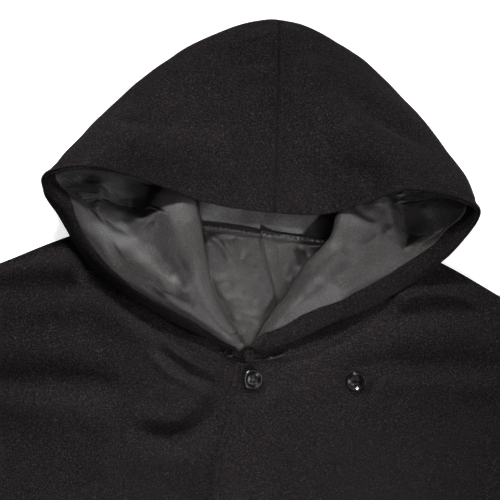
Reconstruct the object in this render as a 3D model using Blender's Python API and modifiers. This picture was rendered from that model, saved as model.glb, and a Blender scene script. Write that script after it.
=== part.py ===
"""A hooded poncho of brushed wool-blend cloth, laid flat with its hood spread open above the neck.

Every size is in millimetres until it is placed: x runs across the garment, y up towards the hood,
z up from the surface it lies on. y is zero 58 mm below the middle of the back neck seam.
"""

import math
from collections import namedtuple

import bmesh
import bpy
import numpy as np

MM = 0.001

# Overall sizes
HOOD_TOP = 236.0
HEM = -826.0
MIDDLE_Y = (HOOD_TOP + HEM) / 2

# Cloth thicknesses and the gap left at every seam
CLOTH = 2.0
LINING = 1.0
FACING = 1.7
SEAM_GAP = 0.3
LINING_GAP = 0.6
INSIDE = CLOTH + LINING_GAP
SIDE_NECK_ROOM = 2.6
FACING_WIDTH = 15.0
FACING_SHARE = 0.2
LINING_END_GAP = 1.5

# Levels of the layers of the body: the back lies on the surface and the fronts lie on the back
FRONT_LEVEL = CLOTH + SEAM_GAP
OVERLAP_GAP = 0.7
OVERLAP_RISE = CLOTH + OVERLAP_GAP
OVERLAP_END = 110.0
OVERLAP_EASE = 40.0
NECK_RISE_REACH = 46.0

# Buttons
BUTTON_HIGH = 3.4
BUTTON_HOLE = 1.9
BUTTON_HOLE_PITCH = 3.6
BUTTON_ROWS = 3
BUTTON_ROW_STEP = 130.0
BUTTON_LEAN = -8.0
BUTTON_TILT = math.radians(20)
FASTENED_BUTTON = (4.0, -66.0)
SECOND_BUTTON = (91.0, -61.5)
BUTTON_PROFILE = (
    (0.0, 2.0), (3.9, 2.05), (5.2, 2.5), (6.3, 3.2), (7.4, BUTTON_HIGH), (8.4, 3.0),
    (9.0, 2.0), (8.5, 1.0), (5.5, 0.2), (0.0, 0.0),
)
UNDERSIDE = BUTTON_PROFILE[-4:]
UNDERSIDE_STEPS = 24

# How a fold's two side points are set out from its outermost point
FOLD_REACH = 5.0
FOLD_REACH_SHARE = 0.4

# Where the top front's corner meets the hood, where the fronts leave it at the side, the neck's middle
FRONT_CORNER = (-4.5, -54.6)
SIDE_NECK_CORNER = (113.4, 57.4)
NECK_MIDDLE_Y = 10.0

# Mesh fineness
MEASURING_STEPS = 180
SHOULDER_STEPS = 11
BACK_SHOULDER_STEPS = 8
STEPS_PER_SECTION = 2
LINED_ROWS = 16
ROWS_IN_FACING = 3

# One section of the hood runs from the neck seam, over the rolled ridge beside the neck, along the
# hollow, round the outer fold, over the crown and down to the rim. roll and fold are the radii at
# the ridge and at the outer fold. A section below the side tips has no outer fold: there edge and
# crown are only places on the slope from the ridge to the rim.
Section = namedtuple("Section", "seam ridge hollow edge crown rim roll fold")

HOOD_CENTRE = Section(
    (5, 58, 0), (5, 90, 0), (5, 150, 0), (5, 236, 7), (8.5, 150, 35), (12, 74.7, 21), 0, 7
)
HOOD_RIGHT = (
    Section((35, 56, 0), (42, 92, 0), (55, 143, 0), (62, 217, 7), (50, 146, 42), (52, 76.4, 26), 0, 7),
    Section((64, 56.5, 0), (72, 100, 4), (95, 140, 1), (114, 177, 10), (90, 132, 54), (86, 88, 44), 0, 8),
    Section(
        (88, 59, 0.5), (73, 98, 12), (112, 122, 8),
        (151, 137, 22), (126, 116, 60), (114.4, 100.2, 60), 1, 9,
    ),
    Section(
        (103, 60, 3), (71, 88, 19), (122, 103, 12),
        (173.5, 106, 34), (163, 102.5, 50), (150, 99.8, 58), 2, 7,
    ),
    Section(
        (110.5, 57, 5.5), (69, 78, 24), (118, 84, 13),
        (177.5, 92, 33), (181, 90.5, 37), (182, 88.5, 39.5), 4, 3,
    ),
    Section((112, 42, 7), (66, 60, 29), (100, 61, 20), (138, 59, 21), (153, 58.5, 24), (166, 58, 27), 5, 0),
    Section(
        (111.5, 20, 8.5), (58, 45, 31), (86, 42, 26),
        (112, 38, 21.5), (125, 35.5, 18.5), (138, 32.4, 15), 5, 0,
    ),
    Section((103, -4, 9), (44, 28, 29), (63, 22, 29), (80, 15, 25), (90, 10, 20.5), (100, 5.3, 15), 5, 0),
    Section(
        (70, -32, 9.3), (30, 4, 22), (40, 1, 25),
        (48.5, -5, 23), (54.5, -10, 20), (60.5, -14.9, 16.5), 4.5, 0,
    ),
    Section(
        (38, -47, 9.8), (17.5, -20, 14.5), (20.5, -20.5, 19),
        (24.5, -24, 18.5), (27.5, -27.5, 16.5), (31, -31, 13.5), 3, 0,
    ),
    Section(
        (1.5, -54.3, 10.5), (1, -51, 11.5), (0.8, -49, 12),
        (0.5, -47, 12.3), (0, -45.3, 12.5), (-0.5, -44, 12.5), 0, 0,
    ),
)
HOOD_LEFT = (
    Section(
        (-35, 61, 0), (-40, 92, 0), (-52, 143, 0),
        (-62, 212.5, 7), (-50, 143, 44), (-45, 79, 34), 0, 7,
    ),
    Section(
        (-64, 61.5, 0), (-68, 100, 5), (-92, 138, 1),
        (-118, 166.5, 10), (-94, 128, 56), (-84, 89.5, 49), 0, 8,
    ),
    Section(
        (-88, 61, 0.5), (-70, 97, 16), (-110, 121, 8),
        (-149, 130.5, 22), (-127, 112, 57), (-114, 97, 56.5), 1, 9,
    ),
    Section(
        (-103, 60.5, 3), (-62, 88, 23), (-118, 101, 12),
        (-173.5, 106, 34), (-163, 102.8, 49.5), (-150, 101.4, 57), 2, 7,
    ),
    Section(
        (-110.5, 57, 5.5), (-57, 76, 28), (-112, 82, 15),
        (-177.5, 92, 32.5), (-181, 90.5, 36.5), (-182, 88.5, 39), 4, 3,
    ),
    Section(
        (-112, 42, 7), (-50, 50, 34), (-92, 56, 26),
        (-135, 60, 25), (-155, 61.5, 30), (-164, 60, 20), 5, 0,
    ),
    Section(
        (-111.5, 20, 8.5), (-43, 26, 35), (-74, 27, 35),
        (-108, 26, 32), (-128, 24, 30), (-133, 19.6, 17), 5, 0,
    ),
    Section(
        (-103, -4, 9), (-35, 5, 29), (-55, 4, 33),
        (-76, 1.5, 32), (-90, -0.5, 28.5), (-94, -5, 16), 5, 0,
    ),
    Section(
        (-70, -32, 9.3), (-26.5, -14, 21), (-35, -14, 26),
        (-45, -15.5, 26.5), (-53, -19, 22), (-56, -23, 13.5), 4.5, 0,
    ),
    Section(
        (-38, -47, 9.8), (-15.5, -30.5, 14), (-18, -28, 18),
        (-22, -28.5, 18), (-25, -31.5, 15), (-27, -34, 12), 2.5, 0,
    ),
    Section(
        (-2.2, -54.3, 8), (-2.4, -51, 9.5), (-2.6, -49, 10.2),
        (-2.8, -47, 10.6), (-3, -45.3, 11), (-3.2, -44, 11), 0, 0,
    ),
)
SIDE_NECK = 5

# Outline of one half of the body, from the side neck point round to the middle of the hem
SHOULDER = ((111, 58), (153, 43), (213, 14.5), (300, -26), (400, -74), (466, -109), (505, -143), (520, -196))
SIDE_EDGE = ((520, -196), (518, -360), (509, -560), (501, -700), (493, -770), (468, -812))
TOP_FRONT_EDGE = (
    (-10.7, -53.5), (-10.6, -66.5), (-12.8, -80), (-14.8, -105), (-21, -140), (-22, -169),
    (-27, -300), (-33, -480), (-38, -660), (-40, HEM),
)
UNDER_FRONT_EDGE = ((101, -7), (106, -60), (107, -300), (107, -560), (107, HEM))
CORNER_LEVEL = 9.2

# How fast a front leaves its top edge, and how soon its folds reach their full height from there
DOWN_POWER = 1.35
FOLD_SETTLES = 30.0

# Soft folds of the fronts: a ridge along a line, with its half width and height
Fold = namedtuple("Fold", "start end width height")
FRONT_FOLDS = (
    Fold((-20, -98), (-104, -150), 15, 2.6),
    Fold((-40, -66), (-118, -112), 17, 2.2),
    Fold((-150, 10), (-250, -30), 20, 2.4),
    Fold((-130, -62), (-240, -80), 20, 2.0),
    Fold((128, 12), (232, -46), 17, 2.4),
    Fold((150, -30), (262, -78), 18, 2.2),
    Fold((-300, -60), (-360, -420), 34, 4.0),
    Fold((-180, -260), (-215, -700), 40, 3.6),
    Fold((290, -90), (350, -470), 36, 4.0),
    Fold((170, -250), (190, -680), 40, 3.4),
    Fold((-420, -200), (-430, -620), 30, 3.2),
    Fold((430, -190), (425, -640), 30, 3.2),
)

# The ease pleat of the back neck lining, and the inset of that lining from the neck seam
PLEAT = ((4, 57), (10, 38), (15, 18), (20, 0), (22, -20), (22, -45))
PLEAT_WIDTH = 3.2
PLEAT_HEIGHT = 3.0
LINING_END = -42.0
LINING_END_HALF_WIDTH = 62.0
LINING_SIDE_SHORT = 1.2
LINING_INSET = 6.0
LINING_COLUMNS = 20
LINING_ROWS = 6
FRONT_ROWS = 12
BACK_ROWS = 5


def smooth(points, at):
    """The point at a place on one smooth curve: at counts spans, so 1.5 is halfway along the second."""
    points = np.asarray(points, float)
    last = len(points) - 1
    span = min(int(at), last - 1)
    along = at - span
    chords = np.linalg.norm(np.diff(points[:, :3], axis=0), axis=1)
    slopes = np.diff(points, axis=0) / chords[:, None]

    def slope_at(i):
        if i in (0, last):
            return slopes[min(i, last - 1)]
        return (chords[i] * slopes[i - 1] + chords[i - 1] * slopes[i]) / (chords[i - 1] + chords[i])

    first, second = points[span], points[span + 1]
    leave, arrive = slope_at(span) * chords[span], slope_at(span + 1) * chords[span]
    square, cube = along**2, along**3
    return (
        first * (2 * cube - 3 * square + 1)
        + leave * (cube - 2 * square + along)
        + second * (3 * square - 2 * cube)
        + arrive * (cube - square)
    )


def eased(value):
    value = min(max(value, 0.0), 1.0)
    return value * value * (3 - 2 * value)


def hood_rows():
    """Every section in order, from the left centre front over the crown to the right centre front."""
    return tuple(reversed(HOOD_LEFT)) + (HOOD_CENTRE,) + HOOD_RIGHT


def guide(column, place):
    values = [np.atleast_1d(getattr(row, column)).astype(float) for row in hood_rows()]
    if len(values[0]) == 3:
        return smooth(values, place)
    span = min(int(place), len(values) - 2)
    share = place - span
    return float(values[span][0] * (1 - share) + values[span + 1][0] * share)


def beside(point, neighbour, radius, lift):
    """A place a short way from a fold's outermost point towards its neighbour, up or down by the radius."""
    away = neighbour - point
    distance = np.linalg.norm(away)
    step = min(max(radius, FOLD_REACH), FOLD_REACH_SHARE * distance)
    return point + away / distance * step + np.array((0, 0, lift * radius))


def section_points(place):
    """The control points of the hood's section at a place along the hood, from seam to rim."""
    seam, ridge, hollow, edge, crown, rim = (
        guide(column, place) for column in ("seam", "ridge", "hollow", "edge", "crown", "rim")
    )
    roll, fold = guide("roll", place), guide("fold", place)
    return [
        seam,
        beside(ridge, seam, roll, -0.7),
        ridge,
        beside(ridge, hollow, roll, 0.7),
        hollow,
        beside(edge, hollow, fold, -0.9),
        edge,
        beside(edge, crown, fold, 0.9),
        crown,
        rim,
    ]


def section_curve(place):
    """The section's outer skin, with rows from the seam to the facing's edge and from there to the rim."""
    control = section_points(place)
    spans = len(control) - 1
    spots = np.linspace(0, spans, MEASURING_STEPS + 1)
    fine = [smooth(control, spot) for spot in spots]
    lengths = [0.0]
    for here, there in zip(fine, fine[1:]):
        lengths.append(lengths[-1] + float(np.linalg.norm(there - here)))
    facing_starts = lengths[-1] - min(FACING_WIDTH, FACING_SHARE * lengths[-1])
    split = float(np.interp(facing_starts, lengths, spots))
    lining_ends = float(np.interp(facing_starts - LINING_END_GAP, lengths, spots))
    places = [lining_ends * i / LINED_ROWS for i in range(LINED_ROWS + 1)]
    places += [split + (spans - split) * i / ROWS_IN_FACING for i in range(ROWS_IN_FACING + 1)]
    points = [smooth(control, spot) for spot in places]
    for point in points:
        point[2] = max(point[2], 0.0)
    return points


def hood_grid():
    """The outer skin of the whole hood and its inward normals, as arrays of columns and rows."""
    count = (len(hood_rows()) - 1) * STEPS_PER_SECTION
    grid = np.array([section_curve(i / STEPS_PER_SECTION) for i in range(count + 1)])
    inward = np.zeros(grid.shape)
    corners = ((0, 0), (1, 0), (1, 1), (0, 1))
    for k, (i, j) in enumerate(corners):
        before, after = corners[k - 1], corners[(k + 1) % 4]
        here, last, following = (
            grid[a : a + len(grid) - 1, b : b + len(grid[0]) - 1] for a, b in ((i, j), before, after)
        )
        one, other = following - here, last - here
        normal = np.cross(one, other)
        size = np.linalg.norm(normal, axis=2, keepdims=True)
        sides = np.linalg.norm(one, axis=2, keepdims=True) * np.linalg.norm(other, axis=2, keepdims=True)
        angle = np.arcsin(np.clip(size / np.maximum(sides, 1e-9), 0, 1))
        inward[i : i + len(grid) - 1, j : j + len(grid[0]) - 1] += normal / np.maximum(size, 1e-9) * angle
    inward /= np.linalg.norm(inward, axis=2, keepdims=True)
    # Each direction is eased towards its neighbours', so that the layers stay nested in tight folds
    for axis in (0, 1):
        ends = np.concatenate([inward.take([0], axis), inward, inward.take([-1], axis)], axis)
        count = inward.shape[axis]
        before, after = ends.take(range(count), axis), ends.take(range(2, count + 2), axis)
        inward = (before + 2 * inward + after) / 4
        inward /= np.linalg.norm(inward, axis=2, keepdims=True)
    return grid, inward


def placed(point):
    return (point[0] * MM, (point[1] - MIDDLE_Y) * MM, point[2] * MM)


def material(name, colour, roughness):
    made = bpy.data.materials.new(name)
    made.use_nodes = True
    shader = made.node_tree.nodes["Principled BSDF"]
    shader.inputs["Base Color"].default_value = (*colour, 1)
    shader.inputs["Roughness"].default_value = roughness
    made.diffuse_color = (*colour, 1)
    return made


def sheet(name, grid, wall, out, finish, collection, flip=False):
    """A wall of cloth from a grid of points on one skin: out is 1 to thicken along the normal, -1 against."""
    mesh = bpy.data.meshes.new(name)
    body = bmesh.new()
    corners = [[body.verts.new(placed(point)) for point in column] for column in grid]
    for column, following in zip(corners, corners[1:]):
        for i in range(len(column) - 1):
            ring = (column[i], following[i], following[i + 1], column[i + 1])
            body.faces.new(ring[::-1] if flip else ring)
    body.normal_update()
    body.to_mesh(mesh)
    body.free()
    mesh.shade_smooth()
    made = bpy.data.objects.new(name, mesh)
    collection.objects.link(made)
    mesh.materials.append(finish)
    solidify = made.modifiers.new("Wall", "SOLIDIFY")
    solidify.thickness = wall * MM
    solidify.offset = out
    return made


def lofted_wall(name, skin, inward, start, wall, finish, collection):
    """A wall of the hood between two skins, start and start + wall inside its outer skin."""
    columns, rows = len(skin), len(skin[0])
    near, far = skin + inward * start, skin + inward * (start + wall)
    points = [placed(point) for layer in (near, far) for column in layer for point in column]

    def at(layer, i, j):
        return (layer * columns + i) * rows + j

    faces = []
    for i in range(columns - 1):
        for j in range(rows - 1):
            for third in ((i + 1, j), (i + 1, j + 1)), ((i + 1, j + 1), (i, j + 1)):
                triangle = ((i, j), *third)
                faces.append([at(1, *corner) for corner in triangle])
                faces.append([at(0, *corner) for corner in reversed(triangle)])
    edge = [(i, 0) for i in range(columns - 1)] + [(columns - 1, j) for j in range(rows - 1)]
    edge += [(i, rows - 1) for i in range(columns - 1, 0, -1)] + [(0, j) for j in range(rows - 1, 0, -1)]
    for here, following in zip(edge, edge[1:] + edge[:1]):
        faces.append([at(0, *here), at(0, *following), at(1, *following), at(1, *here)])
    mesh = bpy.data.meshes.new(name)
    mesh.from_pydata(points, [], faces)
    mesh.shade_smooth()
    mesh.set_sharp_from_angle(angle=math.radians(50))
    mesh.materials.append(finish)
    made = bpy.data.objects.new(name, mesh)
    collection.objects.link(made)


def make_hood(collection, cloth, lining):
    grid, inward = hood_grid()
    middle = (len(grid) - 1) // 2
    inward[middle, :, 0] = 0
    for side, half, shift in (("left", slice(None, middle + 1), -1), ("right", slice(middle, None), 1)):
        skin, out = grid[half].copy(), inward[half]
        skin[-1 if side == "left" else 0, :, 0] += shift * SEAM_GAP / 2
        shell = [row for row in range(len(skin[0])) if row != LINED_ROWS]
        lofted_wall(f"hood_{side}", skin[:, shell], out[:, shell], 0, CLOTH, cloth, collection)
        # The lining stops short of the centre front, and so does the left facing, under the right one
        kept = slice(1, None) if side == "left" else slice(None, -1)
        lined = (kept, slice(None, LINED_ROWS + 1))
        faced = (kept if side == "left" else slice(None), slice(LINED_ROWS + 1, None))
        lofted_wall(f"hood_lining_{side}", skin[lined], out[lined], INSIDE, LINING, lining, collection)
        lofted_wall(f"hood_facing_{side}", skin[faced], out[faced], INSIDE, FACING, cloth, collection)


def fold_height(x, y):
    """How far the soft folds lift the fronts at a place."""
    height = 0.0
    for fold in FRONT_FOLDS:
        start, end = np.array(fold.start, float), np.array(fold.end, float)
        line = end - start
        share = float(np.dot((x, y) - start, line) / np.dot(line, line))
        nearest = start + line * min(max(share, 0.0), 1.0)
        distance = math.hypot(x - nearest[0], y - nearest[1])
        height += fold.height * math.exp(-((distance / fold.width) ** 2))
    return height


def overlap_rise(x):
    """How far the top front is lifted where it lies on the under front."""
    return OVERLAP_RISE * (1 - eased((x - OVERLAP_END) / OVERLAP_EASE))


def neck_edge(first, last, level):
    """Points of a front's neck edge between two sections, at the level below the hood's outer skin."""
    points = []
    steps = abs(last - first) * STEPS_PER_SECTION
    for i in range(steps + 1):
        seam = guide("seam", first + (last - first) * i / steps)
        away = np.array((seam[0], seam[1] - NECK_MIDDLE_Y, 0.0))
        away /= np.linalg.norm(away)
        points.append(np.array((*(seam + away * SEAM_GAP)[:2], seam[2] + level)))
    return points


def curve_points(corners, steps):
    return [smooth(np.array(corners, float), (len(corners) - 1) * i / steps) for i in range(steps + 1)]


def mirrored(corners):
    return [(-x, y) for x, y in corners]


def nearest_on_edge(spot, edge):
    """The point of a front's top edge that lies nearest to a spot in plan, and its distance."""
    best, found = math.inf, edge[0]
    for start, end in zip(edge, edge[1:]):
        line = end - start
        reach = float(np.dot(line[:2], line[:2]))
        share = float(np.dot(spot - start[:2], line[:2])) / max(reach, 1e-9)
        point = start + line * min(max(share, 0.0), 1.0)
        distance = math.hypot(*(spot - point[:2]))
        if distance < best:
            best, found = distance, point
    return found, best


def front_grid(top, free_edge, side_edge, rows, on_top):
    """A front as columns of points between its top edge and the hem, with its raised neck and soft folds."""
    free = curve_points(free_edge, rows)
    side = curve_points(side_edge, rows)
    free_end, side_end = free[-1], side[-1]
    columns = []
    for i, start in enumerate(top):
        across = i / (len(top) - 1)
        column = []
        for j in range(rows + 1):
            down = (j / rows) ** DOWN_POWER
            free_here = smooth(np.array(free_edge, float), (len(free_edge) - 1) * down)
            side_here = smooth(np.array(side_edge, float), (len(side_edge) - 1) * down)
            hem = free_end * (1 - across) + side_end * across
            hem[1] = HEM + (hem[1] - HEM) * across**6 if across < 1 else side_end[1]
            spot = (
                start[:2] * (1 - down)
                + hem * down
                + free_here * (1 - across)
                + side_here * across
                - (top[0][:2] * (1 - across) + top[-1][:2] * across) * (1 - down)
                - (free_end * (1 - across) + side_end * across) * down
            )
            base = FRONT_LEVEL + (overlap_rise(spot[0]) if on_top else 0.0)
            nearest, distance = nearest_on_edge(spot, top)
            edge_base = FRONT_LEVEL + (overlap_rise(nearest[0]) if on_top else 0.0)
            lift = (nearest[2] - edge_base) * math.exp(-((distance / NECK_RISE_REACH) ** 2))
            settled = 1 - math.exp(-((distance / FOLD_SETTLES) ** 2))
            level = base + max(lift, 0.0) + fold_height(*spot) * settled
            column.append((spot[0], spot[1], level))
        columns.append(column)
    return np.array(columns)


def shoulder_points(corners, steps):
    return [np.array((*point, FRONT_LEVEL)) for point in curve_points(corners, steps)[1:]]


def make_fronts(collection, cloth):
    centre = len(HOOD_LEFT)
    left_end, right_end = 0, 2 * centre
    top_right = [np.array((*TOP_FRONT_EDGE[0], CORNER_LEVEL)), np.array((*FRONT_CORNER, CORNER_LEVEL))]
    top_right += neck_edge(right_end, centre + SIDE_NECK, -CLOTH)
    top_right[-1][:2] = SIDE_NECK_CORNER
    top_right += shoulder_points(SHOULDER, SHOULDER_STEPS)
    right = front_grid(top_right, TOP_FRONT_EDGE, SIDE_EDGE, FRONT_ROWS, on_top=True)
    sheet("front_right", right, CLOTH, 1, cloth, collection, flip=True)

    below = -CLOTH - OVERLAP_RISE
    top_left = neck_edge(right_end - 3, right_end, below)
    top_left += neck_edge(left_end, centre - SIDE_NECK, -CLOTH)
    top_left[-1][:2] = mirrored([SIDE_NECK_CORNER])[0]
    top_left += shoulder_points(mirrored(SHOULDER), SHOULDER_STEPS)
    top_left[0] = np.array((*UNDER_FRONT_EDGE[0], top_left[0][2]))
    left = front_grid(top_left, UNDER_FRONT_EDGE, mirrored(SIDE_EDGE), FRONT_ROWS, on_top=False)
    sheet("front_left", left, CLOTH, 1, cloth, collection)


def make_back(collection, cloth):
    """The back lies flat on the surface, cut to the same outline as the fronts, with its own neck edge."""
    centre = len(HOOD_LEFT)
    neck = []
    steps = 2 * SIDE_NECK * STEPS_PER_SECTION
    for i in range(steps + 1):
        from_centre = i / STEPS_PER_SECTION - SIDE_NECK
        seam = guide("seam", centre + from_centre)
        gap = SEAM_GAP + SIDE_NECK_ROOM * eased(abs(from_centre) - 1)
        neck.append(np.array((seam[0], seam[1] - gap)))
    right = curve_points(SHOULDER, BACK_SHOULDER_STEPS)
    left = curve_points(mirrored(SHOULDER), BACK_SHOULDER_STEPS)
    neck[0], neck[-1] = left[0], right[0]
    top = left[:0:-1] + neck + right[1:]
    columns = []
    side_right = curve_points(SIDE_EDGE, BACK_ROWS)
    side_left = curve_points(mirrored(SIDE_EDGE), BACK_ROWS)
    for i, start in enumerate(top):
        across = i / (len(top) - 1)
        column = []
        for j in range(BACK_ROWS + 1):
            down = j / BACK_ROWS
            bulge = 1 - abs(2 * across - 1) ** 7
            hem_y = side_right[-1][1] * (1 - bulge) + HEM * bulge
            hem = np.array((side_right[-1][0] * (2 * across - 1), hem_y))
            spot = (
                start * (1 - down)
                + hem * down
                + side_left[j] * (1 - across)
                + side_right[j] * across
                - (top[0] * (1 - across) + top[-1] * across) * (1 - down)
                - (side_left[-1] * (1 - across) + side_right[-1] * across) * down
            )
            column.append((spot[0], spot[1], 0.0))
        columns.append(column)
    sheet("back", np.array(columns), CLOTH, 1, cloth, collection, flip=True)


def pleat_height(x, y):
    """The ease pleat is one soft ridge that runs down from the neck seam."""
    place = np.interp(-y, [-point[1] for point in PLEAT], [point[0] for point in PLEAT])
    return PLEAT_HEIGHT * math.exp(-(((x - place) / PLEAT_WIDTH) ** 2))


def make_neck_lining(collection, lining):
    """The body's lining inside the back neck, on the back, from the neck seam down."""
    centre = len(HOOD_LEFT)
    columns = []
    for i in range(LINING_COLUMNS + 1):
        across = 2 * i / LINING_COLUMNS - 1
        seam = guide("seam", centre + (SIDE_NECK - LINING_SIDE_SHORT) * across)
        inset = SEAM_GAP + LINING_INSET * abs(across) ** 3
        top = seam[:2] - np.array((LINING_INSET * across * abs(across), inset))
        bottom = np.array((LINING_END_HALF_WIDTH * across, LINING_END))
        column = []
        for j in range(LINING_ROWS + 1):
            down = j / LINING_ROWS
            spot = top * (1 - down) + bottom * down
            column.append((spot[0], spot[1], FRONT_LEVEL + pleat_height(*spot)))
        columns.append(column)
    sheet("back_neck_lining", np.array(columns), LINING, 1, lining, collection, flip=True)


def button_mesh(cutters):
    """A turned button: a raised rim round a dished middle with four holes."""
    mesh = bpy.data.meshes.new("button_profile")
    edges = [(i, i + 1) for i in range(len(BUTTON_PROFILE) - 1)]
    mesh.from_pydata([(x * MM, 0, z * MM) for x, z in BUTTON_PROFILE], edges, [])
    turned = bpy.data.objects.new("button_turned", mesh)
    cutters.objects.link(turned)
    screw = turned.modifiers.new("Turn", "SCREW")
    screw.steps = 16
    screw.render_steps = 16
    screw.use_merge_vertices = True
    screw.merge_threshold = 0.00001
    turned.hide_render = True
    for i in range(4):
        angle = math.radians(45 + 90 * i)
        reach = BUTTON_HOLE_PITCH / math.sqrt(2)
        bpy.ops.mesh.primitive_cylinder_add(
            vertices=6,
            radius=BUTTON_HOLE / 2 * MM,
            depth=0.012,
            location=(reach * math.cos(angle) * MM, reach * math.sin(angle) * MM, 0),
        )
        cutter = bpy.context.object
        cutter.name = f"button_hole_cutter_{i + 1}"
        cutter.users_collection[0].objects.unlink(cutter)
        cutters.objects.link(cutter)
        cutter.hide_render = True
        cutter.display_type = "WIRE"
        cut = turned.modifiers.new(f"Hole {i + 1}", "BOOLEAN")
        cut.operation = "DIFFERENCE"
        cut.object = cutter
    bpy.context.view_layer.update()
    finished = bpy.data.meshes.new_from_object(turned.evaluated_get(bpy.context.evaluated_depsgraph_get()))
    finished.name = "button"
    for helper in list(cutters.objects):
        bpy.data.objects.remove(helper)
    return finished


def seated_height(fronts, x, y, tilt):
    """The least height of a tilted button's middle at which its underside clears the cloth below it."""
    highest = -math.inf
    for reach, up in UNDERSIDE:
        for i in range(UNDERSIDE_STEPS):
            angle = math.tau * i / UNDERSIDE_STEPS
            across, along = reach * math.cos(angle), reach * math.sin(angle)
            spot_x = x + across * math.cos(tilt) + up * math.sin(tilt)
            spot_z = up * math.cos(tilt) - across * math.sin(tilt)
            highest = max(highest, fronts(spot_x, y + along) - spot_z)
    return highest


def make_buttons(collection, cutters, resin, fronts):
    """Two columns of buttons down the top front: the column by its edge is fastened, so it tilts."""
    mesh = button_mesh(cutters)
    mesh.shade_smooth()
    mesh.set_sharp_from_angle(angle=math.radians(40))
    mesh.materials.clear()
    mesh.materials.append(resin)
    number = 0
    for row in range(BUTTON_ROWS):
        drop = BUTTON_ROW_STEP * row
        lean = BUTTON_LEAN * row
        for x, y, tilt in ((*FASTENED_BUTTON, BUTTON_TILT), (*SECOND_BUTTON, 0.0)):
            number += 1
            x, y = x + lean, y - drop
            button = bpy.data.objects.new(f"button_{number}", mesh)
            collection.objects.link(button)
            button.location = placed((x, y, seated_height(fronts, x, y, tilt) + SEAM_GAP))
            button.rotation_euler = (0, tilt, 0)


def height_of(panel):
    """A function that gives the height of a panel's outer skin, read off its grid of points."""
    graph = bpy.context.evaluated_depsgraph_get()
    evaluated = panel.evaluated_get(graph)

    def height(x, y):
        start = np.array(placed((x, y, 200.0)))
        hit, spot, _, _ = evaluated.ray_cast(tuple(start), (0, 0, -1))
        return spot[2] / MM if hit else 0.0

    return height


def main():
    for existing in list(bpy.data.objects):
        bpy.data.objects.remove(existing)
    poncho = bpy.data.collections.new("hooded_poncho")
    cutters = bpy.data.collections.new("cutters")
    bpy.context.scene.collection.children.link(poncho)
    bpy.context.scene.collection.children.link(cutters)
    cloth = material("black brushed wool blend", (0.012, 0.011, 0.011), 0.9)
    lining = material("charcoal satin lining", (0.055, 0.053, 0.053), 0.42)
    resin = material("black polyester resin", (0.008, 0.008, 0.009), 0.22)
    make_back(poncho, cloth)
    make_fronts(poncho, cloth)
    make_hood(poncho, cloth, lining)
    make_neck_lining(poncho, lining)
    bpy.context.view_layer.update()
    make_buttons(poncho, cutters, resin, height_of(bpy.data.objects["front_right"]))


main()
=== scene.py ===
"""The looks of a hooded poncho laid flat: brushed wool-blend cloth, a satin-lined hood and resin buttons.

Lengths are in garment millimetres until a mesh is made: x runs across, y up towards the hood and z up
from the surface. y is zero 58 mm below the middle of the back neck seam.
"""

import math
from collections import namedtuple

import bmesh
import bpy
import numpy as np
from mathutils import Matrix, Vector, noise


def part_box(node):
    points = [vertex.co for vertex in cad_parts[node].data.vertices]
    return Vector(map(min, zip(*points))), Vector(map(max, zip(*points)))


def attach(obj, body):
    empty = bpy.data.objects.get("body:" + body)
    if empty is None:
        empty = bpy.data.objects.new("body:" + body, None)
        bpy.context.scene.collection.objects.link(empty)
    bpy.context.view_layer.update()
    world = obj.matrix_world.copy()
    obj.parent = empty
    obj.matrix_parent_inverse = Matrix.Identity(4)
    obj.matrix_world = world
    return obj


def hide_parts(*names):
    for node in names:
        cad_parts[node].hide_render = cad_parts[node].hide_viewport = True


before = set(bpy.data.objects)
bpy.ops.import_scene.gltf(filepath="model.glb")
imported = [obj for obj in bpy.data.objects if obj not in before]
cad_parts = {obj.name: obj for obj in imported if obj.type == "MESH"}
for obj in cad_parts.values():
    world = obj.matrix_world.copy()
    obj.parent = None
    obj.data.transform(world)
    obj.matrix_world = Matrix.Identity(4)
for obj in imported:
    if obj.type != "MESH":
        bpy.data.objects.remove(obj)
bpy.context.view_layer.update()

MM = 0.001
HOOD_TOP = 236.0
HEM = -826.0
MIDDLE_Y = (HOOD_TOP + HEM) / 2

# Thicknesses, seam gaps and levels, as the solids have them
CLOTH = 2.0
LINING = 1.0
FACING = 1.7
SEAM_GAP = 0.3
INSIDE = 2.6
# The facing's visible width at every section, from the left centre front round to the right one
FACING_WIDTHS = (
    3, 6, 13, 15.5, 17, 15.5, 15, 15, 15, 15, 15, 15,
    15, 15, 15, 15, 16, 19, 21.5, 22, 17, 15, 4,
)
FACING_SHARE = 0.3
LINING_SHORT = 0.8
FRONT_LEVEL = 2.3
OVERLAP_RISE = 2.7
OVERLAP_END = 110.0
OVERLAP_EASE = 40.0
NECK_RISE_REACH = 46.0
NECK_MIDDLE_Y = 10.0
DOWN_POWER = 1.35
FOLD_SETTLES = 30.0
FOLD_REACH = 5.0
FOLD_REACH_SHARE = 0.4


def table(kind, *rows):
    """Rows of a table with named columns."""
    return [kind(*row) for row in rows]


# One section of the hood runs from the neck seam, over the rolled ridge beside the neck, along the
# hollow, round the outer fold, over the crown and down to the rim.
Section = namedtuple("Section", "seam ridge hollow edge crown rim roll fold")

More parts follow.
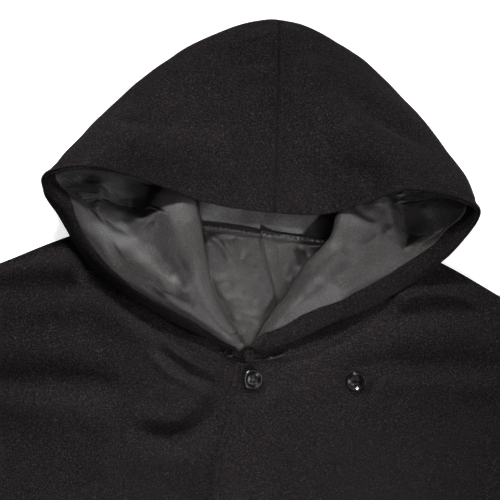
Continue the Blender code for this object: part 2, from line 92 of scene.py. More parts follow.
HOOD_CENTRE = Section(
    (5, 58, 0), (5, 90, 0), (5, 150, 0), (5, 236, 7), (8.5, 150, 35), (12, 74.7, 21), 0, 7
)
HOOD_RIGHT = table(
    Section,
    ((35, 56, 0), (42, 92, 0), (55, 143, 0), (62, 217, 7), (50, 146, 42), (52, 76.4, 26), 0, 7),
    ((64, 56.5, 0), (72, 100, 4), (95, 140, 1), (114, 177, 10), (90, 132, 54), (86, 88, 44), 0, 8),
    ((88, 59, 0.5), (73, 98, 12), (112, 122, 8), (151, 137, 22), (126, 116, 60), (114.4, 100.2, 60), 1, 9),
    ((103, 60, 3), (71, 88, 19), (122, 103, 12), (173.5, 106, 34), (163, 102.5, 50), (150, 99.8, 58), 2, 7),
    ((110.5, 57, 5.5), (69, 78, 24), (118, 84, 13), (177.5, 92, 33),
     (181, 90.5, 37), (182, 88.5, 39.5), 4, 3),
    ((112, 42, 8), (66, 60, 29), (100, 61, 20), (138, 59, 21), (153, 58.5, 24), (166, 58, 27), 5, 0),
    ((111.5, 20, 11), (58, 45, 31), (86, 42, 26), (112, 38, 21.5), (125, 35.5, 18.5), (138, 32.4, 15), 5, 0),
    ((103, -4, 12.5), (44, 28, 29), (63, 22, 29), (80, 15, 25), (90, 10, 20.5), (100, 5.3, 15), 5, 0),
    ((70, -32, 13.2), (30, 4, 22), (40, 1, 25), (48.5, -5, 23), (54.5, -10, 20), (60.5, -14.9, 16.5), 4.5, 0),
    ((38, -47, 13.4), (17.5, -20, 14.5), (20.5, -20.5, 19), (24.5, -24, 18.5),
     (27.5, -27.5, 16.5), (31, -31, 13.5), 3, 0),
    ((-0.5, -54.3, 11.3), (-1.2, -51, 12.5), (-1.8, -49, 13.2), (-2.4, -47, 13.6),
     (-3, -45.3, 13.9), (-3.6, -44, 13.9), 0, 0),
)
HOOD_LEFT = table(
    Section,
    ((-35, 61, 0), (-40, 92, 0), (-52, 143, 0), (-62, 212.5, 7), (-50, 143, 44), (-45, 79, 34), 0, 7),
    ((-64, 61.5, 0), (-68, 100, 5), (-92, 138, 1), (-118, 166.5, 10), (-94, 128, 56), (-84, 89.5, 49), 0, 8),
    ((-88, 61, 0.5), (-70, 97, 16), (-110, 121, 8), (-149, 130.5, 22),
     (-127, 112, 57), (-114, 97, 56.5), 1, 9),
    ((-103, 60.5, 3), (-62, 88, 23), (-118, 101, 12), (-169.5, 103, 34),
     (-162, 101.8, 49.5), (-150, 101.4, 57), 2, 6),
    ((-110.5, 57, 5.5), (-57, 76, 28), (-112, 82, 15), (-177.5, 92, 32.5),
     (-181, 90.5, 36.5), (-182, 88.5, 39), 4, 3),
    ((-112, 42, 8), (-50, 50, 34), (-92, 56, 26), (-135, 60, 25), (-155, 61.5, 30), (-164, 60, 20), 5, 0),
    ((-111.5, 20, 11), (-43, 26, 35), (-74, 27, 35), (-108, 26, 32), (-128, 24, 30), (-133, 19.6, 17), 5, 0),
    ((-103, -4, 12.5), (-35, 5, 29), (-55, 4, 33), (-76, 1.5, 32), (-90, -0.5, 28.5), (-94, -5, 16), 5, 0),
    ((-70, -32, 12.8), (-26.5, -14, 21), (-35, -14, 26), (-45, -15.5, 26.5),
     (-53, -19, 22), (-56, -23, 13.5), 4.5, 0),
    ((-38, -47, 12), (-15.5, -30.5, 14), (-18, -28, 18), (-22, -28.5, 18),
     (-25, -31.5, 15), (-27, -34, 12), 2.5, 0),
    ((0.2, -54.3, 8), (0.4, -51, 9.2), (0.4, -49, 9.7), (0.2, -47, 10),
     (0, -45.3, 10.2), (-0.2, -44, 10.2), 0, 0),
)
HOOD_ROWS = [*reversed(HOOD_LEFT), HOOD_CENTRE, *HOOD_RIGHT]
CENTRE = len(HOOD_LEFT)
SIDE_NECK = 5
LAST = len(HOOD_ROWS) - 1

SHOULDER = ((111, 58), (153, 43), (213, 14.5), (300, -26), (400, -74), (466, -109), (505, -143), (520, -196))
SIDE_EDGE = ((520, -196), (518, -360), (509, -560), (501, -700), (493, -770), (468, -812))
TOP_FRONT_EDGE = (
    (-10.7, -53.5), (-10.6, -66.5), (-12.8, -80), (-14.8, -105), (-21, -140), (-22, -169),
    (-27, -300), (-33, -480), (-38, -660), (-40, HEM),
)
UNDER_FRONT_EDGE = ((101, -7), (106, -60), (107, -300), (107, -560), (107, HEM))
CORNER_LEVEL = 9.2
FRONT_CORNER = (-4.5, -54.6)
SIDE_NECK_CORNER = (113.4, 57.4)

# The folds that the solids have: a ridge along a line, with its half width and height
Fold = namedtuple("Fold", "start end width height")
FRONT_FOLDS = table(
    Fold,
    ((-20, -98), (-104, -150), 15, 2.6),
    ((-40, -66), (-118, -112), 17, 2.2),
    ((-150, 10), (-250, -30), 20, 2.4),
    ((-130, -62), (-240, -80), 20, 2.0),
    ((128, 12), (232, -46), 17, 2.4),
    ((150, -30), (262, -78), 18, 2.2),
    ((-300, -60), (-360, -420), 34, 4.0),
    ((-180, -260), (-215, -700), 40, 3.6),
    ((290, -90), (350, -470), 36, 4.0),
    ((170, -250), (190, -680), 40, 3.4),
    ((-420, -200), (-430, -620), 30, 3.2),
    ((430, -190), (425, -640), 30, 3.2),
)

# Creases pressed into the cloth: a path in plan, a half width and a height, down where negative
Crease = namedtuple("Crease", "path width height")
FRONT_CREASES = table(
    Crease,
    # The ditches below the hood's rims, and the cloth that swells up beside them
    (((-150, 44), (-136, 14), (-98, -12), (-60, -30), (-32, -42)), 7, -5.6),
    (((-162, 30), (-146, 2), (-106, -26), (-66, -44)), 8, 3.0),
    (((150, 26), (122, 6), (92, -22), (60, -42), (24, -58)), 7, 3.2),
    # Left: two long hollows over the shoulder, the fan of creases into the corner and the one below it
    (((-260, -20), (-213, -9), (-171, -3), (-116, 0)), 10, -5.0),
    (((-250, -2), (-216, 7), (-176, 16), (-125, 19)), 9, 3.6),
    (((-215, -24), (-160, -16), (-130, -16)), 11, 3.2),
    (((-236, -84), (-150, -80), (-96, -86)), 13, -5.0),
    (((-226, -60), (-160, -54), (-120, -58)), 12, 2.8),
    (((-215, -108), (-150, -104), (-110, -110)), 12, 2.2),
    (((-90, -120), (-62, -124), (-34, -108), (-11, -76)), 8, -7.4),
    (((-94, -102), (-56, -102), (-38, -88), (-22, -66)), 8, 3.6),
    (((-74, -142), (-44, -138), (-22, -118)), 8, 2.8),
    (((-70, -30), (-52, -45), (-35, -54), (-12, -62)), 3.2, -4.5),
    (((-72, -38), (-54, -52), (-36, -60), (-14, -68)), 3, 4.0),
    (((-78, -45), (-58, -60), (-40, -69), (-18, -76)), 3.2, -4.6),
    (((-84, -52), (-62, -68), (-42, -77), (-22, -86)), 3.6, 2.2),
    # Right: the hollows that run out from under the rim
    (((104, -12), (140, 1), (196, 4)), 8, -5.5),
    (((112, 8), (142, 15), (190, 15)), 8, 3.4),
    (((116, -26), (150, -15), (206, -15)), 9, 3.2),
    (((84, -52), (145, -45), (236, -42)), 9, -7.0),
    (((104, -64), (160, -58), (226, -58)), 10, 3.0),
    (((40, -110), (95, -140), (150, -150)), 16, 2.0),
    (((60, -92), (110, -98), (170, -92)), 12, -1.8),
    (((-210, -120), (-160, -140), (-110, -180)), 14, -3.0),
    (((-240, -40), (-310, -80), (-400, -110)), 14, -3.5),
    (((250, -20), (320, -70), (420, -120)), 14, -3.2),
    (((60, -330), (120, -420), (150, -560)), 18, 3.0),
    (((20, -260), (60, -380), (80, -600)), 20, -3.2),
    (((-90, -300), (-130, -420), (-140, -560)), 18, 3.0),
    (((-240, -200), (-280, -420), (-290, -640)), 22, -3.5),
    (((-420, -260), (-300, -330), (-200, -350)), 16, -2.8),
    (((430, -300), (330, -360), (230, -370)), 16, -2.8),
    (((280, -420), (270, -560), (250, -740)), 22, -3.2),
)
CROWN_CREASES = table(
    Crease,
    (((-42, 194), (-5, 204), (33, 212), (52, 207)), 8, -6.8),
    (((-30, 214), (0, 221), (30, 226)), 7, 3.0),
    (((18, 168), (53, 181), (96, 158), (140, 136)), 5, -6.8),
    (((36, 190), (84, 180), (132, 152)), 8, 3.4),
    (((60, 156), (92, 140), (128, 122)), 10, 2.7),
    (((-134, 142), (-82, 139), (-22, 148)), 4.5, -3.4),
    (((-120, 128), (-76, 126), (-30, 132)), 9, 2.3),
    (((16, 120), (42, 110)), 7, -3.4),
    (((58, 114), (98, 106)), 10, -4.2),
    (((-110, 112), (-60, 112), (-10, 100)), 11, 3.0),
)
# These hollow out the hood's lower layer, lining and all: the deep dents inside both tips
DENTS = table(
    Crease,
    (((-102, 104), (-106, 84), (-112, 62)), 18, -15.0),
    (((-112, 64), (-118, 46)), 12, -5.5),
    (((-152, 96), (-146, 84)), 10, -6.0),
    (((-76, 10), (-66, 20), (-54, 28)), 7, -3.0),
    (((-72, -3), (-60, -4), (-48, -8)), 5, -2.4),
    (((113, 110), (117, 92), (122, 76), (130, 50)), 9, -12.0),
)
LINING_CREASES = table(
    Crease,
    (((-134, 96), (-136, 76), (-136, 56), (-129, 26)), 3.4, 3.4),
    (((-160, 84), (-150, 62), (-136, 34)), 5, 1.6),
    (((-82, 92), (-86, 62), (-98, 44), (-124, 24)), 6, 2.4),
    (((-80, 0), (-67, 9.5), (-50, 4)), 4, 2.2),
    (((-112, 48), (-84, 30), (-62, 16)), 8, -1.8),
    (((-100, 30), (-76, 12), (-58, -2)), 7, 1.6),
    (((-60, 66), (-56, 40), (-42, 16)), 5, 1.2),
    (((101, 96), (103, 80), (108, 60)), 4.5, 3.6),
    (((134, 92), (142, 76), (152, 60)), 4.5, 2.2),
    (((62, 92), (74, 80), (90, 62)), 4, 1.6),
    (((80, 50), (90, 54), (100, 62)), 2.6, -1.6),
    (((76, 88), (84, 78), (96, 74)), 3.2, -1.4),
    (((60, 50), (78, 38), (98, 34)), 6, 1.2),
    (((52, 26), (70, 20), (92, 18)), 6, 1.0),
)

# The back neck: the lining's outline, its pleat and the paired stitch lines
PLEAT = ((2, 58), (7, 38.5), (16, 13), (25, -12), (28, -45))
PLEAT_WIDTH = 10.5
PLEAT_HEIGHT = 4.6
PLEAT_BASE = 1.6
NECK_CREASES = table(
    Crease,
    (((-50, 40), (-40, 30), (-24, 20)), 6, -2.4),
    (((-44, 52), (-30, 44), (-20, 30)), 3.2, 1.8),
    (((-30, 52), (-22, 44), (-18, 36)), 2.6, -1.6),
    (((-20, 52), (-14, 44), (-14, 32)), 3, 1.6),
    (((-40, 12), (-24, 16), (-6, 10)), 5, 1.6),
    (((-30, -4), (-16, 0), (2, -4)), 4, -1.4),
    (((-26, -18), (-10, -12), (8, -16)), 4, 1.6),
    (((28, 48), (34, 40), (36, 28)), 3, -2.2),
    (((36, 50), (44, 40), (46, 30)), 3.2, 2.4),
    (((50, 46), (54, 38), (58, 30)), 2.8, -1.8),
    (((28, 22), (36, 14), (40, 2)), 4, 2.0),
)
LINING_END = -42.0
LINING_END_HALF_WIDTH = 62.0
LINING_SIDE_SHORT = 1.2
LINING_INSET = 6.0
PAIRED_STITCHES = 5.0
NECK_LINING_COLUMNS = 291

# Ridges and grooves along a seam, a fold or a row of stitches: their height (a groove's is negative),
# their distance from it and their half width
CROWN_GROOVE = (-1.7, 0.0, 1.0)
CROWN_WELT = (0.6, 3.0, 1.6)
EDGE_WELT = (1.1, 2.4, 1.8)
EDGE_GROOVE = (-1.0, 5.8, 1.3)
PLEAT_TUCK = (-1.6, -1.2, 0.9)
PLEAT_SEAM = (-1.2, PLEAT_WIDTH, 1.1)
NECK_WELT = (1.5, PAIRED_STITCHES / 2, 1.5)
NECK_GROOVE = (-1.5, PAIRED_STITCHES + 0.5, 0.8)

# Small uneven waves: their size, their height and the seed of their pattern
HOOD_WAVES = (34.0, 1.1, 1)
HOOD_FINE_WAVES = (13.0, 0.35, 2)
LINING_WAVES = (30.0, 3.0, 3)
LINING_FINE_WAVES = (13.0, 0.8, 4)
NECK_WAVES = (19.0, 2.6, 31)
NECK_FINE_WAVES = (8.0, 0.9, 32)
# Each front has seeds of its own
FRONT_WAVES = (46.0, 2.0)
FRONT_FINE_WAVES = (17.0, 0.6)
TOP_FRONT_SEED = 11
UNDER_FRONT_SEED = 21

# Shares of the way from the neck seam to the rim, where creases start or end
CROWN_STARTS = 0.66
CROWN_CALM = 0.93
LOWER_ENDS = 0.55
LINING_CREASES_END = 0.62
LINING_CALM = 0.8

# Buttons: the edges of their holes are softened by BUTTON_EDGE
BUTTON_HOLE = 1.9
BUTTON_HOLE_PITCH = 3.6
BUTTON_TILT = math.radians(20)
BUTTON_EDGE = 0.16
BUTTON_ROWS = 3
BUTTON_COLUMNS = 2
BUTTON_SPOTS = [
    (x - 8.0 * row, y - 130.0 * row) for row in range(BUTTON_ROWS) for x, y in ((4.0, -66.0), (91.0, -61.5))
]

# The share of the way to the rim at which the hood rolls over beside the neck, and the sag before it
RIDGE_SHARE = 2 / 9
DITCH = 9.0
# How far the fronts lie off what is below them, where nothing holds them down
LOOSE = 5.0
# The fronts' waves grow to their full height over these distances from the neck seam, from the free
# edge and from a button's reach
SEAM_CALM = 26.0
EDGE_CALM = 16.0
BUTTON_CALM = 16.0
BUTTON_REACH = 11.0
# Their creases do so over these
SEAM_UNCREASED = 9.0
BUTTON_UNCREASED = 12.0
# Where the top front covers it, from this far before the free edge on, the under front lies low
OVERLAP_BEFORE = 20.0
OVERLAP_BLEND = 14.0
# The hood's lining: its ease, its lowest level and how far its under side follows its folds
LINING_EASE = 1.2
LINING_LOWEST = -0.4
LINING_FOLLOWS = 0.6
FACING_SINK = 0.35
BACK_LEVEL = 0.02

# Rows of stitches: their distances from the seam or edge, and how proud the thread is
TOPSTITCH = 5.0
EDGE_TOPSTITCH = 5.5
HEM_STITCH = 20.0
STITCH_RISE = 0.16
UP = np.array((0, 0, 1.0))

# Mesh fineness
COLUMNS_PER_SIDE = 170
LINED_ROWS = 118
ROWS_IN_FACING = 12
SEAM_ROWS = 11
SEAM_REACH = 9.0
SEAM_SHARE = 0.12
FRONT_ROWS = 150
BACK_ROWS = 90
NECK_STEPS = 60
UNDER_STEPS = 24
SHOULDER_STEPS = 70
TOP_FRONT_FINE_COLUMNS = 14
TOP_FRONT_FINE_REACH = 12.0
TOP_FRONT_SPACING = 4.5
UNDER_FRONT_SPACING = 5.0
MEASURING_STEPS = 240
NORMAL_ROUNDS = 2
EDGE_STEPS = 4
# How far a cut edge bulges, as a share of its thickness
EDGE_BULGE = 0.5


# Curves and fields


def spline(points, places):
    """Points of one smooth curve through given points: a place of 1.5 is halfway along the second span."""
    points = np.asarray(points, float)
    places = np.atleast_1d(np.asarray(places, float))
    last = len(points) - 1
    span = np.minimum(places.astype(int), last - 1)
    along = (places - span)[:, None]
    chords = np.linalg.norm(np.diff(points[:, :3], axis=0), axis=1)
    slopes = np.diff(points, axis=0) / chords[:, None]
    tangents = np.empty_like(points)
    tangents[0], tangents[-1] = slopes[0], slopes[-1]
    both = (chords[1:] + chords[:-1])[:, None]
    tangents[1:-1] = (chords[1:, None] * slopes[:-1] + chords[:-1, None] * slopes[1:]) / both
    size = chords[span][:, None]
    square, cube = along**2, along**3
    return (
        points[span] * (2 * cube - 3 * square + 1)
        + tangents[span] * size * (cube - 2 * square + along)
        + points[span + 1] * (3 * square - 2 * cube)
        + tangents[span + 1] * size * (cube - square)
    )


def whole_curve(points, steps):
    return spline(points, np.linspace(0, len(points) - 1, steps + 1))


def eased(value):
    value = np.clip(value, 0.0, 1.0)
    return value * value * (3 - 2 * value)


def hill(away, width):
    """The share of its height that a soft ridge has at a distance from its top."""
    return np.exp(-((away / width) ** 2))


def ridge(away, height, place, width):
    """How much a soft ridge or groove lifts the cloth: it runs along at one distance from a line."""
    return height * hill(away - place, width)


def at_level(spots, level):
    return np.concatenate([spots[..., :2], level[..., None]], axis=-1)


def lengths_along(points):
    """How far along a path each of its points is."""
    return np.concatenate([[0], np.cumsum(np.linalg.norm(np.diff(points, axis=0), axis=1))])


def at_length(points, lengths, wanted):
    return np.array([np.interp(wanted, lengths, points[:, k]) for k in range(3)])


def resampled(points, wanted):
    """Points at the wanted distances along a path."""
    lengths = lengths_along(points)
    return np.array([at_length(points, lengths, distance) for distance in wanted])


def patch(top, bottom, left, right, across, down):
    """A surface in plan blended from its four edges: its columns run across and its rows down."""
    across, down = across[:, None, None], down[None, :, None]
    return (
        top[:, None] * (1 - down)
        + bottom[:, None] * down
        + left[None] * (1 - across)
        + right[None] * across
        - (top[0] * (1 - across) + top[-1] * across) * (1 - down)
        - (left[-1] * (1 - across) + right[-1] * across) * down
    )


def distance_to_path(spots, path):
    """Each spot's distance in plan from a path, and how far along the path its nearest place is."""
    path = np.asarray(path, float)
    lengths = np.linalg.norm(np.diff(path, axis=0), axis=1)
    total = lengths.sum()
    best = np.full(spots.shape[:-1], np.inf)
    along = np.zeros(spots.shape[:-1])
    before = 0.0
    for start, end, length in zip(path, path[1:], lengths):
        line = (end - start) / length
        share = np.clip((spots[..., :2] - start) @ line, 0, length)
        away = np.linalg.norm(spots[..., :2] - start - share[..., None] * line, axis=-1)
        nearer = away < best
        best = np.where(nearer, away, best)
        along = np.where(nearer, (before + share) / total, along)
        before += length
    return best, along


def creased(spots, creases):
    """How far soft creases lift the cloth at each spot. They fade out at both ends of their paths."""
    lift = np.zeros(spots.shape[:-1])
    for crease in creases:
        path = whole_curve(crease.path, 12) if len(crease.path) > 2 else crease.path
        away, along = distance_to_path(spots, path)
        fade = eased(np.minimum(along, 1 - along) * 4 + 0.15)
        lift += crease.height * hill(away, crease.width) * fade
    return lift


def rippled(spots, size, depth, seed):
    """Small uneven waves of a size in millimetres, the same on each run."""
    flat = spots.reshape(-1, 3)
    shift = Vector((seed * 17.3, seed * 5.1, seed * 9.7))
    waves = [noise.noise(Vector(spot) / size + shift) for spot in flat]
    return depth * np.array(waves).reshape(spots.shape[:-1])


# The hood's skin, computed from its sections


def guides(places):
    """Every column's control points and fold radii, at places along the hood."""
    found = {}
    for column in Section._fields[:6]:
        found[column] = spline([getattr(row, column) for row in HOOD_ROWS], places)
    for column in Section._fields[6:]:
        found[column] = np.interp(places, range(len(HOOD_ROWS)), [getattr(row, column) for row in HOOD_ROWS])
    return found


def beside(point, neighbour, radius, lift):
    away = neighbour - point
    distance = np.linalg.norm(away, axis=1, keepdims=True)
    step = np.minimum(np.maximum(radius[:, None], FOLD_REACH), FOLD_REACH_SHARE * distance)
    moved = point + away / distance * step
    moved[:, 2] += lift * radius
    return moved


def control_points(places):
    g = guides(places)
    return np.stack(
        [
            g["seam"],
            beside(g["ridge"], g["seam"], g["roll"], -0.7),
            g["ridge"],
            beside(g["ridge"], g["hollow"], g["roll"], 0.7),
            g["hollow"],
            beside(g["edge"], g["hollow"], g["fold"], -0.9),
            g["edge"],
            beside(g["edge"], g["crown"], g["fold"], 0.9),
            g["crown"],
            g["rim"],
        ],
        axis=1,
    )


def hood_skin(places):
    """The outer skin in columns and rows, with the share of the way to the rim of each row."""
    columns, shares = [], []
    widths = np.interp(places, range(len(HOOD_ROWS)), FACING_WIDTHS)
    for control, width in zip(control_points(places), widths):
        spans = len(control) - 1
        spots = np.linspace(0, spans, MEASURING_STEPS + 1)
        fine = spline(control, spots)
        lengths = lengths_along(fine)
        starts = lengths[-1] - min(width, FACING_SHARE * lengths[-1])
        # The rows are close together beside the neck seam, for its stitches
        near = np.minimum(np.linspace(0, SEAM_REACH, SEAM_ROWS), lengths[-1] * SEAM_SHARE)
        near_seam = np.interp(near, lengths, spots)
        end = np.interp(starts - LINING_SHORT, lengths, spots)
        rest = near_seam[-1] + (end - near_seam[-1]) * np.linspace(0, 1, LINED_ROWS - SEAM_ROWS + 2)[1:]
        split = np.interp(starts, lengths, spots)
        faced = split + (spans - split) * np.linspace(0, 1, ROWS_IN_FACING + 1)
        rows = np.concatenate([near_seam, rest, faced])
        column = spline(control, rows)
        column[:, 2] = np.maximum(column[:, 2], 0.0)
        columns.append(column)
        shares.append(rows / spans)
    return np.array(columns), np.array(shares)


def inward_normals(grid):
    """Directions into the cloth at each point of a grid, eased towards their neighbours'."""
    along = np.gradient(grid, axis=0)
    across = np.gradient(grid, axis=1)
    normal = np.cross(along, across)
    normal /= np.maximum(np.linalg.norm(normal, axis=2, keepdims=True), 1e-9)
    for _ in range(NORMAL_ROUNDS):
        for axis in (0, 1):
            ends = np.concatenate([normal.take([0], axis), normal, normal.take([-1], axis)], axis)
            count = normal.shape[axis]
            normal = (ends.take(range(count), axis) + 2 * normal + ends.take(range(2, count + 2), axis)) / 4
        normal /= np.maximum(np.linalg.norm(normal, axis=2, keepdims=True), 1e-9)
    return normal


# Meshes


def placed(points):
    """Garment millimetres as the scene's metres, with the origin at the garment's middle."""
    moved = np.array(points, float)
    moved[..., 1] -= MIDDLE_Y
    return moved * MM


def add_object(name, data):
    thing = bpy.data.objects.new(name, data)
    bpy.context.scene.collection.objects.link(thing)
    return thing


def make_piece(name, points, faces, material):
    mesh = bpy.data.meshes.new(name)
    mesh.from_pydata([tuple(point) for point in points], [], faces)
    mesh.shade_smooth()
    mesh.materials.append(material)
    piece = add_object(name, mesh)
    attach(piece, "root")
    return piece


def cloth_wall(name, near, far, material):
    """A wall of cloth between two skins, with its cut edges rounded over all round."""
    columns, rows = near.shape[:2]
    points = np.concatenate([near.reshape(-1, 3), far.reshape(-1, 3)])
    faces = []
    for i in range(columns - 1):
        for j in range(rows - 1):
            a, b, c, d = i * rows + j, (i + 1) * rows + j, (i + 1) * rows + j + 1, i * rows + j + 1
            shift = columns * rows
            faces.append((a, d, c, b))
            faces.append((a + shift, b + shift, c + shift, d + shift))
    ring = [(i, 0) for i in range(columns - 1)] + [(columns - 1, j) for j in range(rows - 1)]
    ring += [(i, rows - 1) for i in range(columns - 1, 0, -1)] + [(0, j) for j in range(rows - 1, 0, -1)]
    inner = [(min(max(i, 1), columns - 2), min(max(j, 1), rows - 2)) for i, j in ring]
    first = np.array([near[spot] for spot in ring])
    second = np.array([far[spot] for spot in ring])
    away = first - np.array([near[spot] for spot in inner])
    away /= np.maximum(np.linalg.norm(away, axis=1, keepdims=True), 1e-9)
    thick = np.linalg.norm(second - first, axis=1, keepdims=True)
    rings = [[i * rows + j for i, j in ring]]
    extra = []
    for k in range(1, EDGE_STEPS):
        turn = math.pi * k / EDGE_STEPS
        level = (1 - math.cos(turn)) / 2
        extra.append(first * (1 - level) + second * level + away * thick * EDGE_BULGE * math.sin(turn))
        start = len(points) + (k - 1) * len(ring)
        rings.append(list(range(start, start + len(ring))))
    rings.append([columns * rows + i * rows + j for i, j in ring])
    points = np.concatenate([points, *extra])
    for one, other in zip(rings, rings[1:]):
        for k in range(len(ring)):
            following = (k + 1) % len(ring)
            faces.append((one[k], one[following], other[following], other[k]))
    return make_piece(name, placed(points), faces, material)


def outward(piece):
    """Turns the faces of a closed piece to face out."""
    work = bmesh.new()
    work.from_mesh(piece.data)
    bmesh.ops.recalc_face_normals(work, faces=work.faces)
    work.to_mesh(piece.data)
    work.free()


def replace_solid(piece, node):
    """Finishes a closed piece that is shown in place of a solid."""
    outward(piece)
    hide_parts(node)


# Materials


def from_hex(code):
    """An sRGB hex colour as linear red, green, blue and alpha."""
    channels = [int(code[k : k + 2], 16) / 255 for k in (1, 3, 5)]
    return (*(c / 12.92 if c <= 0.04045 else ((c + 0.055) / 1.055) ** 2.4 for c in channels), 1.0)


def add_node(material, kind, settings=(), inputs=(), links=()):
    """Adds one node: settings and inputs by name, and links as (input name, node, output name)."""
    node = material.node_tree.nodes.new(kind)
    for key, value in dict(settings).items():
        setattr(node, key, value)
    for key, value in dict(inputs).items():
        node.inputs[key].default_value = value
    for key, source, output in links:
        material.node_tree.links.new(source.outputs[output], node.inputs[key])
    return node


def new_material(name, shader_inputs):
    """A material, its shader and the node that gives a pattern its place on the object."""
    material = bpy.data.materials.new(name)
    material.use_nodes = True
    shader = material.node_tree.nodes["Principled BSDF"]
    for key, value in shader_inputs.items():
        shader.inputs[key].default_value = value
    return material, shader, add_node(material, "ShaderNodeTexCoord")


def colour_ramp(material, source, output, stops):
    ramp = add_node(material, "ShaderNodeValToRGB", links=[("Fac", source, output)])
    elements = ramp.color_ramp.elements
    elements[0].position, elements[0].color = stops[0][0], from_hex(stops[0][1])
    elements[1].position, elements[1].color = stops[-1][0], from_hex(stops[-1][1])
    for place, code in stops[1:-1]:
        elements.new(place).color = from_hex(code)
    return ramp


def noise_node(material, place, scale, detail, roughness=0.5):
    return add_node(
        material, "ShaderNodeTexNoise", inputs={"Scale": scale, "Detail": detail, "Roughness": roughness},
        links=[("Vector", place, "Object")],
    )


def added(material, first, weight, second):
    """A first pattern times its weight, plus a second one."""
    return add_node(
        material, "ShaderNodeMath", {"operation": "MULTIPLY_ADD"}, {1: weight},
        [(0, first, "Fac"), (2, second, "Fac")],
    )


def coloured(material, shader, ramp, height=None, strength=0.0, distance=0.0):
    """Links a colour to the shader and, where there is a height, its bump."""
    links = material.node_tree.links
    links.new(ramp.outputs["Color"], shader.inputs["Base Color"])
    if height:
        bump = add_node(material, "ShaderNodeBump", inputs={"Strength": strength, "Distance": distance})
        links.new(height, bump.inputs["Height"])
        links.new(bump.outputs["Normal"], shader.inputs["Normal"])
    return material


def brushed_wool():
    """Brushed wool blend: woven, then napped, so it is matt and dark with paler fibre ends all over.

    The nap is too fine for the picture, so its flecks are drawn about 1.3 mm wide.
    """
    material, shader, place = new_material(
        "black_brushed_wool_blend", {"Roughness": 0.92, "IOR": 1.45, "Specular IOR Level": 0.05}
    )
    # The pale fibre ends, then the slow change of tone that brushing leaves
    fleck = noise_node(material, place, 760.0, 3.0, 0.65)
    cloud = noise_node(material, place, 38.0, 4.0, 0.6)
    tone = added(material, cloud, 0.08, fleck)
    ramp = colour_ramp(
        material, tone, "Value", [(0.3, "#100e0f"), (0.48, "#1d1a1b"), (0.64, "#302c2d"), (0.8, "#565152")]
    )
    nap = noise_node(material, place, 1300.0, 2.0, 0.6)
    return coloured(material, shader, ramp, nap.outputs["Fac"], strength=0.3, distance=0.0003)


def satin_lining():
    """Polyester satin twill: long floats that shine softly, with a faint diagonal rib."""
    material, shader, place = new_material(
        "charcoal_polyester_satin",
        {
            "Roughness": 0.5, "IOR": 1.5, "Specular IOR Level": 0.5, "Anisotropic": 0.4,
            "Sheen Weight": 0.05, "Sheen Roughness": 0.4, "Sheen Tint": from_hex("#b5b1b1"),
        },
    )
    # The twill's ribs are 0.4 mm apart, drawn about 1 mm apart so that they show
    rib = add_node(
        material, "ShaderNodeTexWave", {"wave_type": "BANDS", "bands_direction": "DIAGONAL"},
        {"Scale": 420.0, "Distortion": 1.6, "Detail": 2.0, "Detail Scale": 1.5},
        [("Vector", place, "Object")],
    )
    slub = noise_node(material, place, 700.0, 3.0, 0.7)
    tone = added(material, rib, 0.1, slub)
    ramp = colour_ramp(material, tone, "Value", [(0.3, "#292727"), (0.52, "#3b3838"), (0.75, "#545151")])
    return coloured(material, shader, ramp, tone.outputs["Value"], strength=0.25, distance=0.0004)


def polished_resin():
    """Cast polyester resin, polished: a black body with a clear gloss and the finest scuffs."""
    material, shader, place = new_material(
        "black_polyester_resin",
        {"Base Color": from_hex("#100f11"), "Roughness": 0.22, "IOR": 1.5, "Coat Weight": 0.1},
    )
    scuff = noise_node(material, place, 900.0, 4.0, 0.7)
    spread = add_node(
        material, "ShaderNodeMapRange", inputs={"To Min": 0.18, "To Max": 0.3},
        links=[("Value", scuff, "Fac")],
    )
    material.node_tree.links.new(spread.outputs["Result"], shader.inputs["Roughness"])
    return material


def sewing_thread():
    """Spun polyester thread: twisted plies that catch a little more light than the wool."""
    material, shader, place = new_material(
        "black_polyester_thread",
        {"Roughness": 0.6, "IOR": 1.5, "Specular IOR Level": 0.3, "Sheen Weight": 0.05},
    )
    twist = noise_node(material, place, 1500.0, 2.0)
    ramp = colour_ramp(material, twist, "Fac", [(0.3, "#090808"), (0.7, "#131111")])
    return coloured(material, shader, ramp)


WOOL = brushed_wool()
SATIN = satin_lining()
RESIN = polished_resin()
THREAD = sewing_thread()


# The hood


def hood_places():
    """Where the hood's columns are: even, but close together beside the centre seam, which is fine work."""
    close = np.array([0.012, 0.03, 0.05, 0.075, 0.105, 0.14, 0.18, 0.23, 0.28])
    side = np.concatenate([close, np.linspace(0.34, CENTRE, COLUMNS_PER_SIDE - len(close))])
    return np.concatenate([CENTRE - side[::-1], [CENTRE], CENTRE + side])


def beside_neck(places):
    """1 for the columns beside the neck, where the hood rolls over, and 0 at the back and centre front."""
    from_seam = np.abs(places - CENTRE)
    return eased((from_seam - 6) / 0.8) * (1 - eased((from_seam - 8.8) / 0.9))


